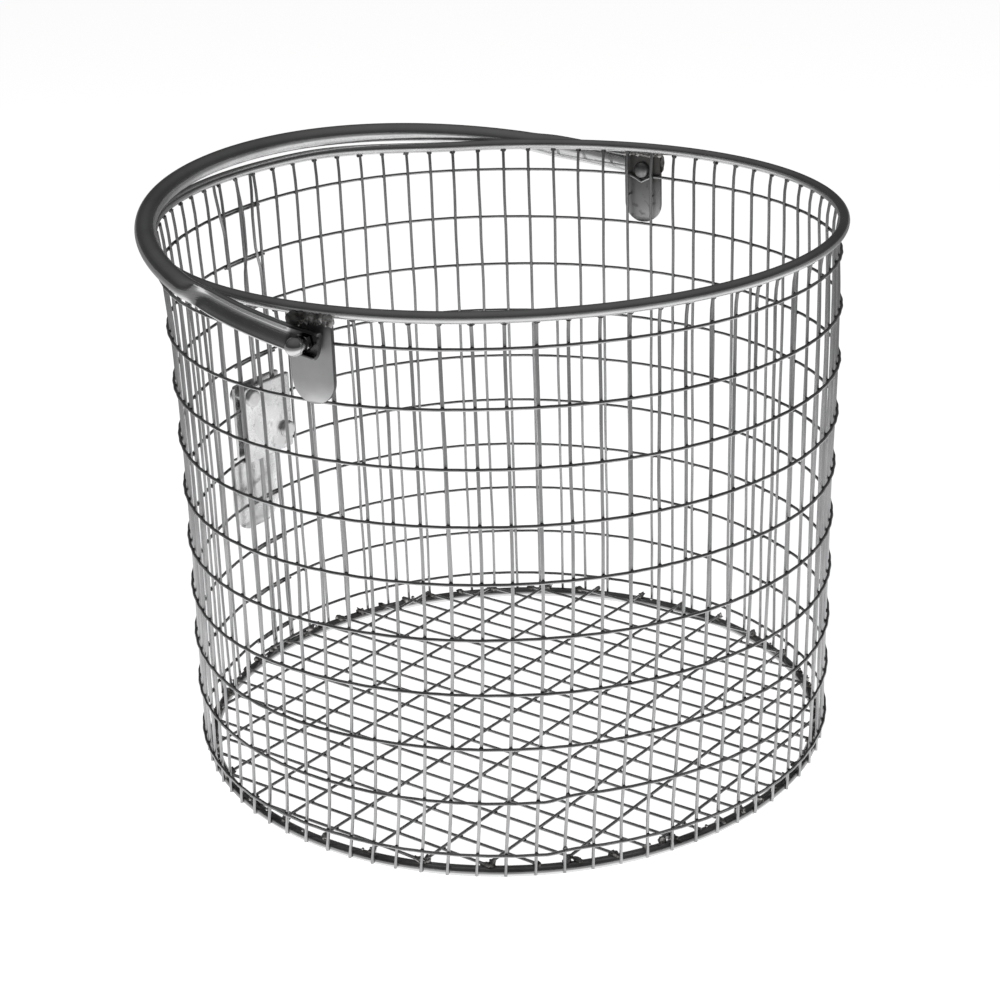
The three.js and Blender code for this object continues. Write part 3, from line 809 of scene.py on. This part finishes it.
def end_steps(rounding, count):
    """Distances from a rounded end, close together where the outline turns fast."""
    return [rounding * (1 - math.cos(math.pi / 2 * i / count)) for i in range(count + 1)]


def straight_stops(length, start_rounding, end_rounding):
    stops = set([0.12, 0.4, length - 0.12, length - 0.4])
    stops.update(end_steps(start_rounding, 9))
    stops.update(length - s for s in end_steps(end_rounding, 9))
    stops = sorted(s for s in stops if 0 <= s <= length)
    kept = [stops[0]]
    for s in stops[1:]:
        if s - kept[-1] > 0.02:
            kept.append(s)
    return kept


# ---- lugs, screws and nuts ----

def make_lug(side, sign):
    """sign is -1 for the front lug and +1 for the rear one."""
    builder = Builder()
    middle = (LUG_INNER + LUG_OUTER) / 2
    length = LUG_TOP_Z - LUG_BOTTOM_Z
    stops = straight_stops(length, 1.2, LUG_HALF_WIDTH)
    path = [(0, sign * middle, LUG_TOP_Z - s) for s in stops]
    bar(builder, path, LUG_HALF_WIDTH, LUG_OUTER - LUG_INNER, AXIS_X, 1.2, LUG_HALF_WIDTH)
    builder.piece(f"{side}_lug_plate", "basket", "plate", LUG[side], [f"{side}_lug"])


def make_lug_welds(side, sign, seed):
    """The rough bead that joins the lug and the rim, and drops on the two uprights inside."""
    draws = random.Random(seed)
    beads, ripples = Builder(), Builder()
    bead_z, drops_z, front_face = 250.9, 230, 158.9
    # Each puddle has its builder, its place across and up, and half its width and height.
    puddles = [(beads, -7.6, 249.0, 3.4, 4.0), (beads, -3.8, bead_z, 2.8, 2.6)]
    for x in (-1.0, 1.2, 3.6, 5.4, 7.6, 9.4):
        z = bead_z + draws.uniform(-0.6, 0.5)
        puddles.append((ripples, x, z, draws.uniform(1.6, 2.1), draws.uniform(1.9, 2.7)))
    if side == "rear":
        puddles.append((beads, 10.1, 245.8, 1.4, 4.4))
    for builder, x, z, wide, high in puddles:
        y = sign * (front_face - x * x / (2 * RIM_RADIUS))
        blob(builder, (x, y, z), np.diag([wide, 1.2, high]), 20, 14, 0.3, draws.uniform(0, 40))
    for i in range(9):
        x = -9 + 18 * i / 8 + draws.uniform(-0.7, 0.7)
        radius = draws.uniform(0.9, 1.3)
        y = sign * draws.uniform(155.9, 156.7)
        centre = (x, y, bead_z - 0.3 + draws.uniform(-0.6, 0.5))
        axes = np.diag([radius * 1.7, radius, radius])
        blob(beads, centre, axes, 14, 9, 0.35, draws.uniform(0, 40))
    for number in (0, -1):
        index = number if sign < 0 else number + UPRIGHTS // 2
        for i in range(2):
            z = drops_z + 9 * i + draws.uniform(-1.2, 1.2)
            point = upright_point(index, z)
            outward = unit(at(cell_azimuth(index + 0.5), 1, 0))
            size = draws.uniform(0.5, 0.8)
            axes = [np.cross(AXIS_Z, outward) * size, outward * 1.5, AXIS_Z * size * 1.4]
            blob(beads, point + outward * 1.4, axes, 8, 6, 0.5, i)
    beads.piece(f"{side}_lug_weld_bead", "basket", "plate", WELD)
    ripples.piece(f"{side}_lug_weld_ripples", "basket", "plate", BRIGHT_WELD)


def make_screw(side, sign):
    """A round head inside the wall, seated on the lug, with its shank through the handle."""
    builder = Builder()
    seat = 156.5
    head = [(0, seat - 3.0), (1.2, seat - 2.95), (2.5, seat - 2.7), (3.4, seat - 2.2),
            (4.0, seat - 1.4), (4.2, seat - 0.6), (4.2, seat - 0.15), (4.05, seat),
            (SHANK_RADIUS, seat), (SHANK_RADIUS, SHANK_END), (0, SHANK_END)]
    turned(builder, head, 32, (0, 0, PIVOT_Z), (0, sign, 0))
    builder.piece(f"{side}_pivot_pan_screw", "basket", "fastener", SCREW, [f"{side}_pivot_screw"])


def make_nut(side, sign):
    """A low hexagon that runs out into a polished dome."""
    builder = Builder()
    path = [(0, sign * y, PIVOT_Z) for y in (163.3, 163.6, 165.9, 166.2)]
    corner = circle(NUT_RADIUS, 6) @ np.array([[0.966, 0.259], [-0.259, 0.966]])  # 15 degrees round
    scale = np.array([0.93, 1, 1, 0.93])
    sweep(builder, path, corner[None] * scale[:, None, None], AXIS_Z)
    dome = [(0, 166.0), (3.5, 166.0), (3.72, 166.6)]
    steps, dome_from = 12, 170.6
    for i in range(steps):
        angle = math.pi / 2 * i / steps
        dome.append((NUT_RADIUS * math.cos(angle), dome_from + NUT_RADIUS * math.sin(angle)))
    dome.append((0, dome_from + NUT_RADIUS))
    turned(builder, dome, 36, (0, 0, PIVOT_Z), (0, sign, 0))
    builder.piece(f"{side}_domed_cap_nut", "basket", "fastener", NUT, [f"{side}_cap_nut"])


# ---- handle ----

# The trough's outline: the turn in degrees on the tube that each point comes from, its height
# above the handle's plane, and its distance inwards from the tube's middle line.
TROUGH_OUTLINE = [(-180, 0, 5.1), (-160, -3.3, 4.75), (-140, -5.1, 3.6), (-122, -5.7, 2.3),
                  (-107, -5.8, 1.1), (-97, -5.6, 0.25), (-89, -5.2, 0.0), (-80, -4.75, 0.05),
                  (-72, -4.5, 0.6), (-64, -4.3, 1.4), (-55, -3.6, 1.8), (-44, -2.7, 2.3),
                  (-34, -2.1, 2.65), (-24, -1.5, 2.75), (-10, -0.6, 2.65), (10, 0.7, 2.3),
                  (28, 1.9, 1.85), (44, 2.9, 1.4), (55, 3.5, 1.0), (64, 3.9, 0.5), (72, 4.25, 0.12),
                  (80, 4.6, 0.0), (89, 5.1, 0.1), (97, 5.5, 0.45), (107, 5.75, 1.15),
                  (122, 5.7, 2.3), (140, 5.1, 3.6), (160, 3.3, 4.75), (180, 0, 5.1)]
# Round the pivot the trough's floor is flat, and its lips stand clear of the cap nut.
NUT_SEAT_DEPTH = 2.7
NUT_SEAT_HALF_HEIGHT = 4.35
NUT_SEAT_TURN, LIP_TURN = 62, 90


def trough_point(turn, past_nut):
    """Outward distance and height of the trough's outline at a turn around the tube."""
    keys = [row[0] for row in TROUGH_OUTLINE]
    degrees = math.degrees(math.remainder(turn, 2 * math.pi))
    height = np.interp(degrees, keys, [row[1] for row in TROUGH_OUTLINE])
    inward = np.interp(degrees, keys, [row[2] for row in TROUGH_OUTLINE])
    if abs(degrees) < NUT_SEAT_TURN:
        seat_height = NUT_SEAT_HALF_HEIGHT * degrees / NUT_SEAT_TURN
        height = seat_height + (height - seat_height) * past_nut
        inward = NUT_SEAT_DEPTH + (inward - NUT_SEAT_DEPTH) * past_nut
    elif abs(degrees) < LIP_TURN:
        seat_height = math.copysign(max(abs(height), NUT_SEAT_HALF_HEIGHT + 0.1), height)
        height = seat_height + (height - seat_height) * past_nut
    return -inward, height


def handle_section(reach, sides):
    """The tube's section, pressed to an open trough towards the pivot."""
    points = []
    for k in range(sides):
        turn = 2 * math.pi * k / sides
        round_out, round_up = TUBE_RADIUS * math.cos(turn), TUBE_RADIUS * math.sin(turn)
        trough_out, trough_up = trough_point(turn, smooth(abs(reach), 4.6, 8))
        hollow = 0.5 + 0.5 * math.cos(turn)
        start, end = 45 + 9 * hollow, 69 - 3 * hollow
        blend = smooth(reach, start, end)
        points.append((trough_out + (round_out - trough_out) * blend,
                       trough_up + (round_up - trough_up) * blend))
    return points


def make_handle():
    overhang = math.asin(TROUGH_OVERHANG / HANDLE_REACH)
    angles = np.linspace(-overhang, math.pi + overhang, 190)
    full = 1 + HANDLE_FULLNESS * np.sin(2 * angles) ** 2
    forward = HANDLE_REACH * np.sin(angles) * full
    sideways = -HANDLE_HALF_WIDTH * np.cos(angles) * full
    path = np.stack([forward, sideways, np.zeros_like(angles)], 1)
    sections = [handle_section(HANDLE_REACH * math.sin(a), 48) for a in angles]
    builder = Builder()
    sweep(builder, path, np.array(sections), AXIS_Z)
    fold = Matrix.Rotation(math.pi + HANDLE_FOLD, 4, "Y")
    place = Matrix.Translation((0, 0, PIVOT_Z * MM)) @ fold
    builder.piece("swing_handle_tube", "handle", "handle_tube", TUBE, ["swing_handle"], place)


# ---- draining hook ----

def on_hook(radial, aside, z):
    """A point at the hook, from its distance to the wall's axis, its place aside and its height."""
    outward = at(HOOK_AZIMUTH, 1, 0)
    return outward * radial + np.cross(AXIS_Z, outward) * aside + AXIS_Z * z


def hook_profile():
    """The middle of the bent plate, from its top down: out over a shelf and down the tab."""
    inner, outer = HOOK_BACK + PLATE / 2, HOOK_FRONT - PLATE / 2
    shelf = HOOK_SHELF_Z + PLATE / 2
    bend = (outer - inner) / 2
    length = HOOK_TOP_Z - shelf - bend
    back_stops = straight_stops(length, 1.5, 1.0)
    points = [(inner, HOOK_TOP_Z - s) for s in back_stops if s < length - 0.3]
    for i in range(9):
        angle = math.pi / 2 * i / 8
        points.append((inner + bend * (1 - math.cos(angle)), shelf + bend * (1 - math.sin(angle))))
    for i in range(1, 9):
        angle = math.pi / 2 * i / 8
        points.append((outer - bend * (1 - math.sin(angle)), shelf - bend * (1 - math.cos(angle))))
    tab = shelf - bend - HOOK_TIP_Z
    tab_stops = straight_stops(tab, 1.0, HOOK_TIP_ROUNDING)
    points += [(outer, shelf - bend - s) for s in tab_stops if s > 0.3]
    return points


def make_hook():
    across = np.cross(AXIS_Z, at(HOOK_AZIMUTH, 1, 0))
    hook = Builder()
    path = [on_hook(radial, 0, z) for radial, z in hook_profile()]
    bar(hook, path, HOOK_HALF_WIDTH, PLATE, across, 1.5, HOOK_TIP_ROUNDING)
    hook.piece("draining_hook_plate", "basket", "plate", PLATE_STEEL, ["draining_hook"])
    backing = Builder()
    stops = straight_stops(HOOK_TOP_Z - BACKING_BOTTOM_Z, 1.5, 1.5)
    path = [on_hook(BACKING_FACE - PLATE / 2, 0, HOOK_TOP_Z - s) for s in stops]
    bar(backing, path, HOOK_HALF_WIDTH, PLATE, across, 1.5, 1.5)
    backing.piece("hook_backing_sheet", "basket", "plate", PLATE_STEEL, ["hook_backing_plate"])
    for name, (side, z) in RIVETS.items():
        rivet = Builder()
        start, end = BACKING_FACE - PLATE - 0.1, HOOK_BACK + PLATE + 0.1
        dome = [(RIVET_HEAD_RADIUS * across_share, RIVET_HEAD_HEIGHT * height_share)
                for across_share, height_share in RIVET_HEAD_OUTLINE]
        profile = [(0, start - RIVET_HEAD_HEIGHT)] + [(r, start - h) for r, h in dome]
        profile += [(RIVET_RADIUS, start), (RIVET_RADIUS, end)]
        profile += [(r, end + h) for r, h in reversed(dome)] + [(0, end + RIVET_HEAD_HEIGHT)]
        aside = side * BACKING_FACE * math.sin(PITCH)
        turned(rivet, profile, 28, on_hook(0, aside, z), at(HOOK_AZIMUTH, 1, 0))
        rivet.piece(name + "_domed", "basket", "fastener", RIVET, [name])


# ---- stage, light and camera ----

def stage_floor():
    """A plain white table. In reflections only its part near the basket is bright."""
    mesh = bpy.data.meshes.new("stage_floor")
    half = 14.0
    corners = [(-half, -half, 0), (half, -half, 0), (half, half, 0), (-half, half, 0)]
    mesh.from_pydata(corners, [], [(0, 1, 2, 3)])
    floor = bpy.data.objects.new("stage_floor", mesh)
    bpy.context.scene.collection.objects.link(floor)
    material = bpy.data.materials.new("stage_white")
    material.use_nodes = True
    nodes, links = material.node_tree.nodes, material.node_tree.links
    nodes.clear()
    output = nodes.new("ShaderNodeOutputMaterial")
    diffuse = nodes.new("ShaderNodeBsdfDiffuse")
    diffuse.inputs["Color"].default_value = (0.9, 0.9, 0.9, 1)
    glow = nodes.new("ShaderNodeEmission")
    glow.inputs["Strength"].default_value = 0.86
    seen = nodes.new("ShaderNodeAddShader")
    links.new(diffuse.outputs["BSDF"], seen.inputs[0])
    links.new(glow.outputs["Emission"], seen.inputs[1])
    position = nodes.new("ShaderNodeNewGeometry").outputs["Position"]
    length = nodes.new("ShaderNodeVectorMath")
    length.operation = "LENGTH"
    links.new(position, length.inputs[0])
    glow_rings = ramp(nodes, links, length.outputs["Value"],
                      [(0.0, 0.90), (0.30, 0.98), (0.42, 0.82), (0.60, 0.36), (1.0, 0.20)])
    mirrored = nodes.new("ShaderNodeEmission")
    links.new(glow_rings, mirrored.inputs["Color"])
    mirrored.inputs["Strength"].default_value = 1.12
    path = nodes.new("ShaderNodeLightPath")
    mix = nodes.new("ShaderNodeMixShader")
    links.new(path.outputs["Is Glossy Ray"], mix.inputs["Fac"])
    links.new(seen.outputs["Shader"], mix.inputs[1])
    links.new(mirrored.outputs["Emission"], mix.inputs[2])
    links.new(mix.outputs["Shader"], output.inputs["Surface"])
    mesh.materials.append(material)


def studio_world():
    """White behind the object, and a dark room in reflections, a little paler overhead."""
    world = bpy.data.worlds.new("studio")
    bpy.context.scene.world = world
    world.use_nodes = True
    nodes, links = world.node_tree.nodes, world.node_tree.links
    nodes.clear()
    output = nodes.new("ShaderNodeOutputWorld")
    direction = nodes.new("ShaderNodeTexCoord").outputs["Generated"]
    split = nodes.new("ShaderNodeSeparateXYZ")
    links.new(direction, split.inputs["Vector"])
    grey = ramp(nodes, links, split.outputs["Z"],
                [(0.0, 0.06), (0.3, 0.05), (0.6, 0.09), (1.0, 0.13)])
    room = nodes.new("ShaderNodeBackground")
    links.new(grey, room.inputs["Color"])
    white = nodes.new("ShaderNodeBackground")
    white.inputs["Color"].default_value = (1, 1, 1, 1)
    path = nodes.new("ShaderNodeLightPath")
    mix = nodes.new("ShaderNodeMixShader")
    links.new(path.outputs["Is Camera Ray"], mix.inputs["Fac"])
    links.new(room.outputs["Background"], mix.inputs[1])
    links.new(white.outputs["Background"], mix.inputs[2])
    links.new(mix.outputs["Shader"], output.inputs["Surface"])


def area_light(name, position, target, size, power):
    data = bpy.data.lights.new(name, "AREA")
    data.shape = "RECTANGLE"
    data.size, data.size_y = size
    data.energy = power
    light = bpy.data.objects.new(name, data)
    bpy.context.scene.collection.objects.link(light)
    light.location = position
    light.visible_glossy = False
    light.rotation_euler = (Vector(target) - Vector(position)).to_track_quat("-Z", "Y").to_euler()
    return light


def make_camera():
    azimuth, pitch, roll = math.radians(28.75), math.radians(21.35), math.radians(1.96)
    distance, height = 0.9904, 0.5028
    data = bpy.data.cameras.new("photo_camera")
    data.sensor_width, data.lens = 36, 79.97
    data.shift_x = -0.00735
    data.clip_start, data.clip_end = 0.05, 100
    camera = bpy.data.objects.new("photo_camera", data)
    bpy.context.scene.collection.objects.link(camera)
    turn = (Matrix.Rotation(azimuth, 4, "Z") @ Matrix.Rotation(math.pi / 2 - pitch, 4, "X")
            @ Matrix.Rotation(-roll, 4, "Z"))
    spot = Matrix.Translation((distance * math.sin(azimuth), -distance * math.cos(azimuth), height))
    camera.matrix_world = spot @ turn
    bpy.context.scene.camera = camera


make_uprights()
make_hoops()
make_wall_spots()
make_seam()
make_rods()
make_ring_welds()
make_floor_welds(*make_floor())
for side, sign, seed in (("front", -1, 11), ("rear", 1, 12)):
    make_lug(side, sign)
    make_lug_welds(side, sign, seed)
    make_screw(side, sign)
    make_nut(side, sign)
make_handle()
make_hook()

stage_floor()
studio_world()
area_light("soft_key", (-0.9, -0.7, 1.6), (0, 0, 0.15), (0.9, 0.9), 6)
area_light("soft_fill", (1.2, 0.5, 1.5), (0, 0, 0.15), (1.0, 1.0), 3)
make_camera()
bpy.context.scene.view_settings.view_transform = "Standard"
